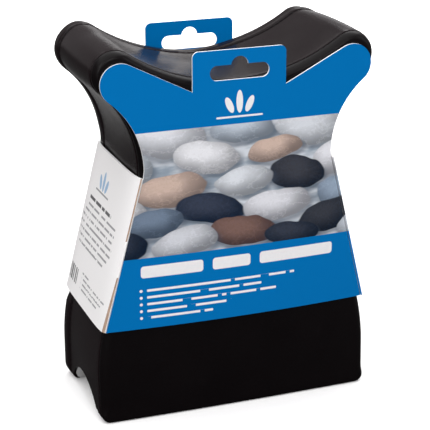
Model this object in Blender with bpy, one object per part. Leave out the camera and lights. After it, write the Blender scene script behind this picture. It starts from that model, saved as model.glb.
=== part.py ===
"""A vinyl padded footrest block in a card sleeve, standing on the toes of its arched base.

Lengths are in metres, +Z is up and the front faces -Y.
"""

import math

import bmesh
import bpy
import numpy as np
from mathutils import Vector

# Padded block
BLOCK_WIDTH = 0.14605
BLOCK_DEPTH = 0.06985
BLOCK_HEIGHT = 0.1905
HORN_RADIUS = 0.0116
CRADLE_DIP = 0.0195
WAIST_WIDTH = 0.1004
WAIST_DROP = 0.0605
FLANK_START = 0.0225
FLANK_KNEE = 0.0365
BOTTOM_CORNER_RADIUS = 0.005
EDGE_ROLL_RADIUS = 0.004
BAND_CROWN = 0.0007

# Arch through the base, front to back
ARCH_HEIGHT = 0.0155
TOE_DEPTH = 0.00667
TOE_FILLET = 0.0025

# How far the front face is set back at its side edges
FRONT_BOW_AT_SLEEVE = 0.003
FRONT_BOW_AT_FLOOR = 0.001

# Cover, seams and clearances
VINYL_THICKNESS = 0.0012
FRONT_RIM_DEPTH = 0.005
REAR_RIM_DEPTH = 0.0065
SEAM_GROOVE = 0.0011
THREAD_THICKNESS = 0.0005
THREAD_INSET = 0.0006
SEAT_GAP = 0.0003

# Card sleeve
BOARD_THICKNESS = 0.001
SLEEVE_FOOT = 0.0495
SLEEVE_TOP_DROP = 0.0024
CREASE_EASE_TOP = 0.00015
CREASE_EASE_FOOT = 0.0012
PANEL_BULGE_TOP = 0.0022
PANEL_BULGE_FOOT = 0.0011
CARD_HORN_RADIUS = 0.010
CARD_HORN_IN = 0.0014
CARD_HORN_DROP = 0.0039
CARD_WAIST_IN = 0.0016
CARD_WAIST_RISE = 0.001
CARD_CRADLE_DROP = 0.0035

# Hang tab and its slot
TAB_WIDTH = 0.0479
TAB_RISE = 0.0157
TAB_CORNER_RADIUS = 0.003
SLOT_WIDTH = 0.0304
SLOT_HEIGHT = 0.0073
SLOT_RISE = 0.001
SLOT_HUMP_RADIUS = 0.0044
SLOT_HUMP_RISE = 0.0039

# Tongue of the left panel, tucked behind the front card
TONGUE_RISE = 0.0285
TONGUE_HEIGHT = 0.019
TONGUE_THICKNESS = 0.0005
TONGUE_LENGTH = 0.0019

# Counts and shares
CORNER_STEPS = 3
SIDE_STEPS = 3
FLANK_STEPS = 3
LEAN_STEPS = 4
WAIST_STEPS = 6
HORN_STEPS = 10
CRADLE_STEPS = 4
BOTTOM_STEPS = 4
ROLL_STEPS = 3
FILLET_STEPS = 2
ARCH_STEPS = 8
CARD_COLUMNS = 12
CARD_ROWS = 3
PANEL_COLUMNS = 10
PANEL_ROWS = 3
PANEL_BULGE_POWER = 6
FACE_RING_SHARES = (0.78, 0.52, 0.24)

# Colours
FOAM_COLOUR = (0.55, 0.52, 0.42)
VINYL_COLOUR = (0.008, 0.008, 0.009)
BAND_COLOUR = (0.012, 0.012, 0.013)
THREAD_COLOUR = (0.02, 0.02, 0.022)
BLUE_PRINT_COLOUR = (0.0, 0.156, 0.445)
WHITE_PRINT_COLOUR = (0.83, 0.82, 0.82)

# Sizes that follow from the ones above
HALF_WIDTH = BLOCK_WIDTH / 2 - BAND_CROWN
HALF_DEPTH = BLOCK_DEPTH / 2
OUTLINE_TOP = BLOCK_HEIGHT - BAND_CROWN
CORNER_LENGTH = BOTTOM_CORNER_RADIUS * math.pi / 2
SIDE_LENGTH = CORNER_LENGTH + FLANK_START - BOTTOM_CORNER_RADIUS
HORN_CENTRE = Vector((HALF_WIDTH - HORN_RADIUS, OUTLINE_TOP - HORN_RADIUS))
CRADLE_HEIGHT = BLOCK_HEIGHT - CRADLE_DIP
WAIST_HEIGHT = BLOCK_HEIGHT - WAIST_DROP
SLEEVE_TOP = WAIST_HEIGHT - SLEEVE_TOP_DROP
FACE_CENTRE = Vector((0, WAIST_HEIGHT))
CORE_INSET = VINYL_THICKNESS + SEAT_GAP
FRONT_SEAM = FRONT_RIM_DEPTH - HALF_DEPTH
REAR_SEAM = HALF_DEPTH - REAR_RIM_DEPTH
BAND_FRONT = FRONT_SEAM + SEAM_GROOVE / 2
BAND_REAR = REAR_SEAM - SEAM_GROOVE / 2
TOE_START = HALF_DEPTH - TOE_DEPTH
ARCH_RADIUS = (TOE_START**2 + ARCH_HEIGHT**2) / (2 * ARCH_HEIGHT) - TOE_FILLET
ARCH_CENTRE_HEIGHT = ARCH_HEIGHT - ARCH_RADIUS
CARD_INNER_DEPTH = HALF_DEPTH + SEAT_GAP
CARD_OUTER_DEPTH = CARD_INNER_DEPTH + BOARD_THICKNESS
CARD_MIDDLE_DEPTH = CARD_INNER_DEPTH + BOARD_THICKNESS / 2


def clear_scene():
    for old in list(bpy.data.objects):
        bpy.data.objects.remove(old)


def material(name, colour, roughness, metallic=0.0):
    made = bpy.data.materials.new(name)
    made.use_nodes = True
    shader = made.node_tree.nodes["Principled BSDF"]
    shader.inputs["Base Color"].default_value = (*colour, 1.0)
    shader.inputs["Roughness"].default_value = roughness
    shader.inputs["Metallic"].default_value = metallic
    made.diffuse_color = (*colour, 1.0)
    return made


# Outline of the block, seen from the front


def arc(centre, radius, start, end, steps, side=1):
    """Points and outward normals along an arc, with side -1 where the block is hollow."""
    pairs = []
    for i in range(steps + 1):
        angle = start + (end - start) * i / steps
        out = Vector((math.cos(angle), math.sin(angle)))
        pairs.append((centre + radius * out, side * out))
    return pairs


def direction(vector):
    return math.atan2(vector.y, vector.x)


def hollow_radius(across, along, radius):
    """Radius of the hollow arc that starts that far across and along from a round and runs into it."""
    return (across**2 + along**2 - radius**2) / (2 * (radius - across))


def upper_outline():
    """Points and normals up the right side, from the foot of the flank to the middle of the cradle."""
    waist_radius = hollow_radius(WAIST_WIDTH / 2 - HORN_CENTRE.x, HORN_CENTRE.y - WAIST_HEIGHT, HORN_RADIUS)
    waist = Vector((WAIST_WIDTH / 2 + waist_radius, WAIST_HEIGHT))
    cradle_radius = hollow_radius(CRADLE_HEIGHT - HORN_CENTRE.y, HORN_CENTRE.x, HORN_RADIUS)
    cradle = Vector((0, CRADLE_HEIGHT + cradle_radius))
    knee = Vector((HALF_WIDTH, FLANK_KNEE))
    reach = waist - knee
    lean = direction(reach) - math.acos(waist_radius / reach.length)
    flank_radius = (FLANK_KNEE - FLANK_START) / math.tan(lean / 2)
    flank = Vector((HALF_WIDTH - flank_radius, FLANK_START))
    to_horn = direction(HORN_CENTRE - waist)
    to_cradle = direction(cradle - HORN_CENTRE)

    flank_arc = arc(flank, flank_radius, 0, lean, FLANK_STEPS)
    waist_arc = arc(waist, waist_radius, math.pi + lean, to_horn, WAIST_STEPS, -1)
    horn_arc = arc(HORN_CENTRE, HORN_RADIUS, to_horn - math.pi, to_cradle, HORN_STEPS)
    cradle_arc = arc(cradle, cradle_radius, to_cradle - math.pi, -math.pi / 2, CRADLE_STEPS, -1)
    low, normal = flank_arc[-1]
    high = waist_arc[0][0]
    straight = [(low.lerp(high, i / LEAN_STEPS), normal) for i in range(1, LEAN_STEPS)]
    return flank_arc + straight + waist_arc + horn_arc[1:] + cradle_arc[1:]


UPPER_OUTLINE = upper_outline()


def half_width_at(height):
    """Half the block's width on the upright part of the outline."""
    climb = [point for point, _ in UPPER_OUTLINE if point.y <= HORN_CENTRE.y]
    return float(np.interp(height, [point.y for point in climb], [point.x for point in climb]))


def side_point(length):
    """Point and normal that far round the bottom corner and up the right side."""
    angle = min(length / BOTTOM_CORNER_RADIUS, math.pi / 2)
    normal = Vector((math.sin(angle), -math.cos(angle)))
    corner = Vector((HALF_WIDTH - BOTTOM_CORNER_RADIUS, BOTTOM_CORNER_RADIUS))
    climb = Vector((0, max(0, length - CORNER_LENGTH)))
    return corner + BOTTOM_CORNER_RADIUS * normal + climb, normal


def side_start(height, inset):
    """Length along the side at which a layer that far in reaches the height."""
    if height >= BOTTOM_CORNER_RADIUS:
        return CORNER_LENGTH + height - BOTTOM_CORNER_RADIUS
    drop = (BOTTOM_CORNER_RADIUS - height) / (BOTTOM_CORNER_RADIUS - inset)
    return BOTTOM_CORNER_RADIUS * math.acos(min(1, drop))


def right_outline(start=0):
    """Points and normals from that far along the right side up to the middle of the cradle."""
    corner = [CORNER_LENGTH * i / CORNER_STEPS for i in range(CORNER_STEPS + 1)]
    rise = SIDE_LENGTH - CORNER_LENGTH
    upright = [CORNER_LENGTH + rise * i / SIDE_STEPS for i in range(1, SIDE_STEPS)]
    lengths = [start + (SIDE_LENGTH - start) * at / SIDE_LENGTH for at in corner + upright]
    return [side_point(length) for length in lengths] + UPPER_OUTLINE


def crown(depth, height):
    """How far the band swells out at a depth; it dies out towards the floor."""
    middle = (BAND_FRONT + BAND_REAR) / 2
    across = (depth - middle) / (BAND_REAR - middle)
    return BAND_CROWN * max(0, 1 - across**2) * min(1, height / FLANK_START)


def inset_strip(depth, inset, start=0):
    """The layer that far in at a depth, from the right toe over the cradle to the left toe."""
    right = []
    for point, normal in right_outline(start):
        right.append(point - (inset - crown(depth, point.y)) * normal)
    left = [Vector((-point.x, point.y)) for point in reversed(right[:-1])]
    return right + left


def inset_loop(depth, inset, start=0):
    """The strip closed along the bottom."""
    strip = inset_strip(depth, inset, start)
    across = [strip[-1].lerp(strip[0], i / BOTTOM_STEPS) for i in range(1, BOTTOM_STEPS)]
    return strip + across


# Shape of the arch and of the front


def arch_height(depth, rise=0):
    """Height of the arch at a depth, for the layer that lies that much above it."""
    side = abs(depth)
    radius = ARCH_RADIUS + rise
    fillet = TOE_FILLET - rise
    if side >= TOE_START:
        return rise
    if side > TOE_START * radius / (ARCH_RADIUS + TOE_FILLET):
        return TOE_FILLET - math.sqrt(fillet**2 - (TOE_START - side) ** 2)
    return ARCH_CENTRE_HEIGHT + math.sqrt(radius**2 - side**2)


def arch_normal(depth):
    """Direction from the arch into the block, as its parts along Y and Z."""
    height = arch_height(depth)
    side = abs(depth)
    if side >= TOE_START:
        return Vector((0, 1))
    if side > TOE_START * ARCH_RADIUS / (ARCH_RADIUS + TOE_FILLET):
        inward = Vector((TOE_START - side, TOE_FILLET - height)).normalized()
    else:
        inward = Vector((side, height - ARCH_CENTRE_HEIGHT)).normalized()
    return Vector((math.copysign(inward.x, depth), inward.y))


def band_depths():
    """Depths across the bands, closer together where the arch turns into the toes."""
    join = math.asin(TOE_START / (ARCH_RADIUS + TOE_FILLET))
    turn = [ARCH_RADIUS * math.sin(join * (2 * i / ARCH_STEPS - 1)) for i in range(ARCH_STEPS + 1)]
    fillet = [TOE_START - TOE_FILLET * math.sin(join * i / FILLET_STEPS) for i in range(FILLET_STEPS)]
    front = [-depth for depth in fillet]
    rear = [depth for depth in reversed(fillet) if depth < BAND_REAR]
    return [BAND_FRONT] + front + turn + rear + [BAND_REAR]


def bowed(point):
    """The point after the front face is set back towards its side edges."""
    x, y, z = point
    if y >= 0:
        return Vector(point)
    if z > SLEEVE_FOOT:
        depth = FRONT_BOW_AT_SLEEVE * max(0, SLEEVE_TOP - z) / (SLEEVE_TOP - SLEEVE_FOOT)
    else:
        depth = FRONT_BOW_AT_FLOOR + (FRONT_BOW_AT_SLEEVE - FRONT_BOW_AT_FLOOR) * z / SLEEVE_FOOT
    across = min(1, abs(x) / crease_at(min(max(z, SLEEVE_FOOT), SLEEVE_TOP)))
    return Vector((x, y * (1 - depth * across**2 / HALF_DEPTH), z))


# Meshes


def solid(name, points, faces, surface, smooth=True, origin=None):
    """A closed mesh object, with its origin where its hinge is if it has one."""
    origin = origin or Vector()
    mesh = bpy.data.meshes.new(name)
    mesh.from_pydata([point - origin for point in points], [], faces)
    shape = bmesh.new()
    shape.from_mesh(mesh)
    bmesh.ops.recalc_face_normals(shape, faces=shape.faces)
    shape.to_mesh(mesh)
    shape.free()
    mesh.polygons.foreach_set("use_smooth", [smooth] * len(mesh.polygons))
    mesh.materials.append(surface)
    made = bpy.data.objects.new(name, mesh)
    made.location = origin
    bpy.context.scene.collection.objects.link(made)
    return made


def ring_faces(rings, count, closed=True):
    """Quads between rings of that many points each."""
    faces = []
    for ring in range(rings - 1):
        for i in range(count if closed else count - 1):
            j = (i + 1) % count
            low, high = ring * count, (ring + 1) * count
            faces.append((low + i, low + j, high + j, high + i))
    return faces


def pole_faces(pole, first, count):
    """Triangles that close a ring on one point."""
    return [(pole, first + i, first + (i + 1) % count) for i in range(count)]


def walled(outer, inner, faces):
    """Points and faces of a sheet with thickness, walled along its open edges."""
    count = len(outer)
    edges = {(face[i - 1], face[i]) for face in faces for i in range(len(face))}
    walls = [(b, a, a + count, b + count) for a, b in sorted(edges) if (b, a) not in edges]
    backs = [tuple(at + count for at in reversed(face)) for face in faces]
    return outer + inner, faces + backs + walls


# Foam and vinyl


def face_rings(loop, depth):
    """Rings of a flat face drawn in towards its middle, and the middle itself."""
    rings = []
    for share in FACE_RING_SHARES:
        rings.append([FACE_CENTRE + (point - FACE_CENTRE) * share for point in loop])
    points = [bowed((point.x, depth, point.y)) for ring in rings for point in ring]
    return points + [bowed((FACE_CENTRE.x, depth, FACE_CENTRE.y))]


def roll_sections(side, inset):
    """Depth and inset down the rolled edge of a layer, from its side wall to its face."""
    radius = EDGE_ROLL_RADIUS - inset
    sections = []
    for i in range(ROLL_STEPS + 1):
        angle = math.pi / 2 * i / ROLL_STEPS
        depth = HALF_DEPTH - EDGE_ROLL_RADIUS + radius * math.sin(angle)
        sections.append((side * depth, EDGE_ROLL_RADIUS - radius * math.cos(angle)))
    return sections


def cover_layer(side, rim_depth, inset):
    """Points of one face of a cover, from its rim round the rolled edge to its middle."""
    sections = [(side * rim_depth, inset)] + roll_sections(side, inset)
    points = []
    for depth, at in sections:
        points += [bowed((point.x, depth, point.y)) for point in inset_loop(depth, at)]
    depth, at = sections[-1]
    return points + face_rings(inset_loop(depth, at), depth)


def make_cover(name, side, seam, surface):
    rim_depth = abs(seam) + SEAM_GROOVE / 2
    outer = cover_layer(side, rim_depth, 0)
    inner = cover_layer(side, rim_depth, VINYL_THICKNESS)
    count = len(inset_loop(0, 0))
    rings = len(outer) // count
    faces = ring_faces(rings, count) + pole_faces(rings * count, (rings - 1) * count, count)
    return solid(name, *walled(outer, inner, faces), surface)


def make_foam_core(surface):
    """Foam block under the covers and bands, arched like them."""
    front = roll_sections(-1, CORE_INSET)
    rear = roll_sections(1, CORE_INSET)
    between = [(depth, CORE_INSET) for depth in band_depths() if abs(depth) < TOE_START]
    sections = front[::-1] + [(-TOE_START, CORE_INSET)] + between + [(TOE_START, CORE_INSET)] + rear
    loops = []
    for depth, inset in sections:
        start = side_start(arch_height(depth, CORE_INSET), inset) if abs(depth) < TOE_START else 0
        loops.append([Vector((point.x, depth, point.y)) for point in inset_loop(depth, inset, start)])
    flat_loop = [Vector((point.x, point.z)) for point in loops[0]]
    count = len(flat_loop)

    front_face = face_rings(flat_loop, sections[0][0])
    rear_face = face_rings(flat_loop, sections[-1][0])
    shares = len(FACE_RING_SHARES)
    front_rings = [front_face[i * count : (i + 1) * count] for i in reversed(range(shares))]
    rear_rings = [rear_face[i * count : (i + 1) * count] for i in range(shares)]
    rings = front_rings + [[bowed(point) for point in loop] for loop in loops] + rear_rings
    points = [point for ring in rings for point in ring] + [front_face[-1], rear_face[-1]]
    front_pole = pole_faces(len(points) - 2, 0, count)
    rear_pole = pole_faces(len(points) - 1, (len(rings) - 1) * count, count)
    return solid("foam_core", points, ring_faces(len(rings), count) + front_pole + rear_pole, surface)


def make_wrap_band(surface):
    """Vinyl strip up one side, over the horns and the cradle and down the other side."""
    outer, inner = [], []
    for depth in band_depths():
        start = side_start(arch_height(depth), 0)
        for points, inset in ((outer, 0), (inner, VINYL_THICKNESS)):
            strip = inset_strip(depth, inset, start)
            points += [bowed((point.x, depth, point.y)) for point in strip]
    count = len(inset_strip(0, 0))
    faces = ring_faces(len(outer) // count, count, closed=False)
    return solid("wrap_band", *walled(outer, inner, faces), surface)


def bottom_band_reach(depth):
    """Half the bottom band's width at a depth, just inside the ends of the wrap band."""
    drop = 1 - min(arch_height(depth), BOTTOM_CORNER_RADIUS) / BOTTOM_CORNER_RADIUS
    round_in = (BOTTOM_CORNER_RADIUS - VINYL_THICKNESS) * math.sqrt(1 - drop**2)
    return HALF_WIDTH - BOTTOM_CORNER_RADIUS + round_in - SEAT_GAP


def make_bottom_band(surface):
    """Vinyl strip that lines the arch between the ends of the wrap band."""
    outer, inner = [], []
    for depth in band_depths():
        under = Vector((depth, arch_height(depth)))
        over = under + VINYL_THICKNESS * arch_normal(depth)
        for points, at in ((outer, under), (inner, over)):
            reach = bottom_band_reach(at.x)
            for i in range(BOTTOM_STEPS + 1):
                points.append(bowed((reach * (2 * i / BOTTOM_STEPS - 1), at.x, at.y)))
    faces = ring_faces(len(outer) // (BOTTOM_STEPS + 1), BOTTOM_STEPS + 1, closed=False)
    return solid("bottom_band", *walled(outer, inner, faces), surface)


def make_seam_thread(name, seam, surface):
    """Closed loop of sewing thread sunk in the groove of a seam."""
    reach = THREAD_THICKNESS / 2
    corners = [(-reach, -reach), (reach, -reach), (reach, reach), (-reach, reach)]
    points = []
    for along, down in corners:
        loop = inset_loop(seam, THREAD_INSET + down)
        points += [bowed((point.x, seam + along, point.y)) for point in loop]
    count = len(points) // len(corners)
    faces = ring_faces(len(corners), count)
    last = (len(corners) - 1) * count
    for i in range(count):
        j = (i + 1) % count
        faces.append((last + i, last + j, j, i))
    return solid(name, points, faces, surface)


# Card sleeve


CREASE_TOP = half_width_at(SLEEVE_TOP) + CREASE_EASE_TOP
CREASE_FOOT = half_width_at(SLEEVE_FOOT) + CREASE_EASE_FOOT


def sleeve_share(height):
    """0 at the foot of the creases and 1 at their top."""
    return (height - SLEEVE_FOOT) / (SLEEVE_TOP - SLEEVE_FOOT)


def crease_at(height):
    """Half the sleeve's width at a crease."""
    return CREASE_FOOT + (CREASE_TOP - CREASE_FOOT) * sleeve_share(height)


def card_edge_at(height):
    return crease_at(height) - BOARD_THICKNESS - SEAT_GAP


def rear_left_hinge():
    """The foot of the crease on which the left panel opens."""
    return Vector((BOARD_THICKNESS / 2 - CREASE_FOOT, CARD_MIDDLE_DEPTH, SLEEVE_FOOT))


def card_right_edge():
    """Right edge of the card above its crease, from the waist up to the middle of the tab."""
    horn = Vector((HORN_CENTRE.x - CARD_HORN_IN, HORN_CENTRE.y - CARD_HORN_DROP))
    narrow = Vector((WAIST_WIDTH / 2 - CARD_WAIST_IN, WAIST_HEIGHT + CARD_WAIST_RISE))
    waist_radius = hollow_radius(narrow.x - horn.x, horn.y - narrow.y, CARD_HORN_RADIUS)
    waist = narrow + Vector((waist_radius, 0))
    to_horn = direction(horn - waist)
    tab_root = Vector((TAB_WIDTH / 2, CRADLE_HEIGHT - CARD_CRADLE_DROP))
    reach = tab_root - horn
    to_shoulder = direction(-reach) + math.pi - math.acos(CARD_HORN_RADIUS / reach.length)
    tab_top = CRADLE_HEIGHT + TAB_RISE
    corner = Vector((TAB_WIDTH / 2 - TAB_CORNER_RADIUS, tab_top - TAB_CORNER_RADIUS))

    edge = [point for point, _ in arc(waist, waist_radius, math.pi, to_horn, WAIST_STEPS)]
    edge += [point for point, _ in arc(horn, CARD_HORN_RADIUS, to_horn - math.pi, to_shoulder, HORN_STEPS)][1:]
    edge.append(tab_root)
    edge += [point for point, _ in arc(corner, TAB_CORNER_RADIUS, 0, math.pi / 2, CORNER_STEPS)]
    return edge + [Vector((0, tab_top))]


def slot_right_edge():
    """Right half of the hanging slot's edge, from the top of its hump to its foot."""
    foot = CRADLE_HEIGHT + SLOT_RISE
    end_radius = SLOT_HEIGHT / 2
    end = Vector((SLOT_WIDTH / 2 - end_radius, foot + end_radius))
    hump = Vector((0, foot + SLOT_HEIGHT + SLOT_HUMP_RISE - SLOT_HUMP_RADIUS))
    meet = math.asin((end.y + end_radius - hump.y) / SLOT_HUMP_RADIUS)
    edge = [hump + Vector((0, SLOT_HUMP_RADIUS))]
    edge += [point for point, _ in arc(hump, SLOT_HUMP_RADIUS, math.pi / 2, meet, CORNER_STEPS)][1:]
    edge += [point for point, _ in arc(end, end_radius, math.pi / 2, -math.pi / 2, 2 * CORNER_STEPS)]
    return edge + [Vector((0, foot))]


def card_plan():
    """Points and faces of a front or rear card laid flat in the front view."""
    points, faces = [], []
    for row in range(CARD_ROWS + 1):
        height = SLEEVE_FOOT + (SLEEVE_TOP - SLEEVE_FOOT) * row / CARD_ROWS
        for column in range(CARD_COLUMNS + 1):
            across = 2 * column / CARD_COLUMNS - 1
            points.append(Vector((across * card_edge_at(height), height)))
    faces += ring_faces(CARD_ROWS + 1, CARD_COLUMNS + 1, closed=False)

    middle = CARD_ROWS * (CARD_COLUMNS + 1) + CARD_COLUMNS // 2
    crease_right = list(range(middle, (CARD_ROWS + 1) * (CARD_COLUMNS + 1)))
    crease_left = list(range(middle, middle - CARD_COLUMNS // 2 - 1, -1))
    rim = card_right_edge() + slot_right_edge()
    right, left = [], []
    for point in rim:
        right.append(len(points))
        points.append(point)
        if point.x > 0:
            left.append(len(points))
            points.append(Vector((-point.x, point.y)))
        else:
            left.append(right[-1])
    faces.append(tuple(crease_right + right))
    faces.append(tuple(reversed(crease_left + left)))
    return points, faces


def make_card(name, side, surface):
    plan, faces = card_plan()
    outer = [bowed((point.x, side * CARD_OUTER_DEPTH, point.y)) for point in plan]
    inner = [bowed((point.x, side * CARD_INNER_DEPTH, point.y)) for point in plan]
    return solid(name, *walled(outer, inner, faces), surface, smooth=False)


def panel_at(side, depth, height):
    """Outer point of a side panel, which bulges between its creases."""
    bulge = PANEL_BULGE_FOOT + (PANEL_BULGE_TOP - PANEL_BULGE_FOOT) * sleeve_share(height)
    shape = 1 - abs(depth / CARD_OUTER_DEPTH) ** PANEL_BULGE_POWER
    return bowed((side * (crease_at(height) + bulge * shape), depth, height))


def make_side_card(name, side, surface, origin=None):
    outer = []
    for row in range(PANEL_ROWS + 1):
        height = SLEEVE_FOOT + (SLEEVE_TOP - SLEEVE_FOOT) * row / PANEL_ROWS
        for column in range(PANEL_COLUMNS + 1):
            angle = math.pi * (column / PANEL_COLUMNS - 1 / 2)
            outer.append(panel_at(side, CARD_OUTER_DEPTH * math.sin(angle), height))
    inner = [point - Vector((side * BOARD_THICKNESS, 0, 0)) for point in outer]
    faces = ring_faces(PANEL_ROWS + 1, PANEL_COLUMNS + 1, closed=False)
    return solid(name, *walled(outer, inner, faces), surface, smooth=False, origin=origin)


def add_tongue(panel, surface):
    """Joins the tucked tongue to the left panel, just inside the front card."""
    outer_depth = CARD_INNER_DEPTH - SEAT_GAP
    depths = (-outer_depth, TONGUE_THICKNESS - outer_depth)
    points = []
    foot = SLEEVE_FOOT + TONGUE_RISE
    for height in (foot, foot + TONGUE_HEIGHT):
        inner_face = crease_at(height) - BOARD_THICKNESS
        for depth in depths:
            for across in (inner_face + BOARD_THICKNESS / 2, inner_face - TONGUE_LENGTH):
                points.append(bowed((-across, depth, height)))
    faces = [(0, 1, 3, 2), (4, 6, 7, 5), (0, 4, 5, 1), (2, 3, 7, 6), (0, 2, 6, 4), (1, 5, 7, 3)]
    tongue = solid("tongue", points, faces, surface, smooth=False)
    tongue.hide_render = True
    tongue.display_type = "WIRE"
    join = panel.modifiers.new("tongue", "BOOLEAN")
    join.operation = "UNION"
    join.solver = "EXACT"
    join.object = tongue


def make_block():
    make_foam_core(material("foam", FOAM_COLOUR, 0.95))
    make_cover("front_cover", -1, FRONT_SEAM, material("front_vinyl", VINYL_COLOUR, 0.5))
    make_cover("rear_cover", 1, REAR_SEAM, material("rear_vinyl", VINYL_COLOUR, 0.5))
    make_wrap_band(material("band_vinyl", BAND_COLOUR, 0.42))
    make_bottom_band(material("bottom_vinyl", BAND_COLOUR, 0.5))
    make_seam_thread("front_seam_thread", FRONT_SEAM, material("front_thread", THREAD_COLOUR, 0.7))
    make_seam_thread("rear_seam_thread", REAR_SEAM, material("rear_thread", THREAD_COLOUR, 0.7))


def make_sleeve():
    """Front and rear cards, the right panel that joins them, and the left one that opens on its rear crease."""
    make_card("front_card", -1, material("front_print", BLUE_PRINT_COLOUR, 0.35))
    make_card("rear_card", 1, material("rear_print", BLUE_PRINT_COLOUR, 0.35))
    make_side_card("right_side_card", 1, material("right_print", WHITE_PRINT_COLOUR, 0.4))
    left_print = material("left_print", WHITE_PRINT_COLOUR, 0.4)
    left = make_side_card("left_side_card", -1, left_print, rear_left_hinge())
    add_tongue(left, left_print)


clear_scene()
make_block()
make_sleeve()
bpy.context.view_layer.update()
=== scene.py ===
import math

import bpy
import numpy as np
from mathutils import Matrix, Vector, noise


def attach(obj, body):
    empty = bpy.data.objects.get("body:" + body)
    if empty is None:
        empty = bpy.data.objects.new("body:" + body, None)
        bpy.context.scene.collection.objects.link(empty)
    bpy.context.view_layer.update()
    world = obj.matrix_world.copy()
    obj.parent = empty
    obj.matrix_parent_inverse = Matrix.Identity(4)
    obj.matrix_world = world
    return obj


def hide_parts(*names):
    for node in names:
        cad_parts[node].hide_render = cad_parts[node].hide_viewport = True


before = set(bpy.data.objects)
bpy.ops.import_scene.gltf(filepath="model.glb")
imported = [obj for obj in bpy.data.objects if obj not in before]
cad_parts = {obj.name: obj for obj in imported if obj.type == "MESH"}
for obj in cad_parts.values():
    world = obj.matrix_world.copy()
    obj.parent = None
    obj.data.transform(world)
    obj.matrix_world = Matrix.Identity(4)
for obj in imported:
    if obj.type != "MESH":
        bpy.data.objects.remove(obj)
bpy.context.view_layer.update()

# Shapes are worked out in millimetres and turned into metres when a mesh is made.
metre = 0.001

block = {
    "width": 146.05,
    "depth": 69.85,
    "height": 190.5,
    "hornRadius": 11.6,
    "cradleDip": 19.5,
    "waistWidth": 100.4,
    "waistDrop": 60.5,
    "flankStart": 22.5,
    "flankKnee": 36.5,
    "cornerRadius": 5.0,
    "rollRadius": 4.0,
    "bandCrown": 0.7,
    "archHeight": 15.5,
    "toeDepth": 6.67,
    "toeFillet": 2.5,
    "rearToeReach": 1.16,
    "bowAtSleeve": 3.0,
    "bowAtFloor": 1.0,
    "vinyl": 1.2,
    "frontRim": 5.0,
    "rearRim": 9.6,
}
sleeve = {
    "board": 1.0,
    "shown": 0.85,
    "cutAbove": 0.1,
    "cutBelow": 0.2,
    "cutFoot": 2.2,
    "tongueFoot": 78.0,
    "tongueTop": 97.0,
    "tongueReach": 1.9,
    "tongueBoard": 0.5,
    "gap": 0.3,
    "foot": 49.5,
    "topDrop": 2.4,
    "easeTop": 0.15,
    "easeFoot": 1.2,
    "bulgeTop": 2.2,
    "bulgeFoot": 1.1,
    "hornRadius": 10.0,
    "hornIn": 1.4,
    "hornDrop": 3.9,
    "waistIn": 1.6,
    "waistRise": 1.0,
    "cradleDrop": 3.5,
    "tabWidth": 47.9,
    "tabRise": 15.7,
    "tabCorner": 3.0,
    "slotWidth": 30.4,
    "slotHeight": 7.3,
    "slotRise": 1.0,
    "humpRadius": 4.4,
    "humpRise": 3.9,
}

halfWidth = block["width"] / 2 - block["bandCrown"]
halfDepth = block["depth"] / 2
outlineTop = block["height"] - block["bandCrown"]
cornerRadius = block["cornerRadius"]
cornerLength = cornerRadius * math.pi / 2
sideLength = cornerLength + block["flankStart"] - cornerRadius
hornRadius = block["hornRadius"]
hornCentre = np.array([halfWidth - hornRadius, outlineTop - hornRadius])
cradleHeight = block["height"] - block["cradleDip"]
waistHeight = block["height"] - block["waistDrop"]
sleeveFoot = sleeve["foot"]
sleeveTop = waistHeight - sleeve["topDrop"]
faceCentre = np.array([0, waistHeight])
frontSeam = halfDepth - block["frontRim"]
rearSeam = halfDepth - block["rearRim"]
toeStart = halfDepth - block["toeDepth"]
archHeight = block["archHeight"]
toeFillet = block["toeFillet"]
archRadius = (toeStart**2 + archHeight**2) / (2 * archHeight) - toeFillet
cardInner = halfDepth + sleeve["gap"]
cardOuter = cardInner + sleeve["board"]


# Outline of the block, seen from the front, with the direction out of it at each point
def direction(vector):
    return math.atan2(vector[1], vector[0])


def arcPoints(centre, radius, start, end, step, side=1):
    count = max(2, math.ceil(abs(end - start) * radius / step))
    angles = np.linspace(start, end, count + 1)
    out = np.stack([np.cos(angles), np.sin(angles)], 1)
    return centre + radius * out, side * out


def hollowRadius(across, along, radius):
    # of a hollow that runs into a round of that radius, whose centre lies so far from its deepest point
    return (across**2 + along**2 - radius**2) / (2 * (radius - across))


def upperOutline(step):
    halfWaist = block["waistWidth"] / 2
    waistRadius = hollowRadius(halfWaist - hornCentre[0], hornCentre[1] - waistHeight, hornRadius)
    waist = np.array([halfWaist + waistRadius, waistHeight])
    cradleRadius = hollowRadius(cradleHeight - hornCentre[1], hornCentre[0], hornRadius)
    cradle = np.array([0, cradleHeight + cradleRadius])
    knee = np.array([halfWidth, block["flankKnee"]])
    reach = waist - knee
    lean = direction(reach) - math.acos(waistRadius / np.linalg.norm(reach))
    flankRadius = (block["flankKnee"] - block["flankStart"]) / math.tan(lean / 2)
    flank = np.array([halfWidth - flankRadius, block["flankStart"]])
    toHorn = direction(hornCentre - waist)
    toCradle = direction(cradle - hornCentre)

    flankArc = arcPoints(flank, flankRadius, 0, lean, step)
    waistArc = arcPoints(waist, waistRadius, math.pi + lean, toHorn, step, -1)
    hornArc = arcPoints(hornCentre, hornRadius, toHorn - math.pi, toCradle, step)
    cradleArc = arcPoints(cradle, cradleRadius, toCradle - math.pi, -math.pi / 2, step, -1)
    low, high = flankArc[0][-1], waistArc[0][0]
    count = math.ceil(np.linalg.norm(high - low) / step)
    shares = np.linspace(0, 1, count + 1)[1:-1, None]
    straight = (low + (high - low) * shares, np.repeat(flankArc[1][-1:], count - 1, 0))
    parts = [flankArc, straight, waistArc, [part[1:] for part in hornArc], [part[1:] for part in cradleArc]]
    return np.vstack([part[0] for part in parts]), np.vstack([part[1] for part in parts])


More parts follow.
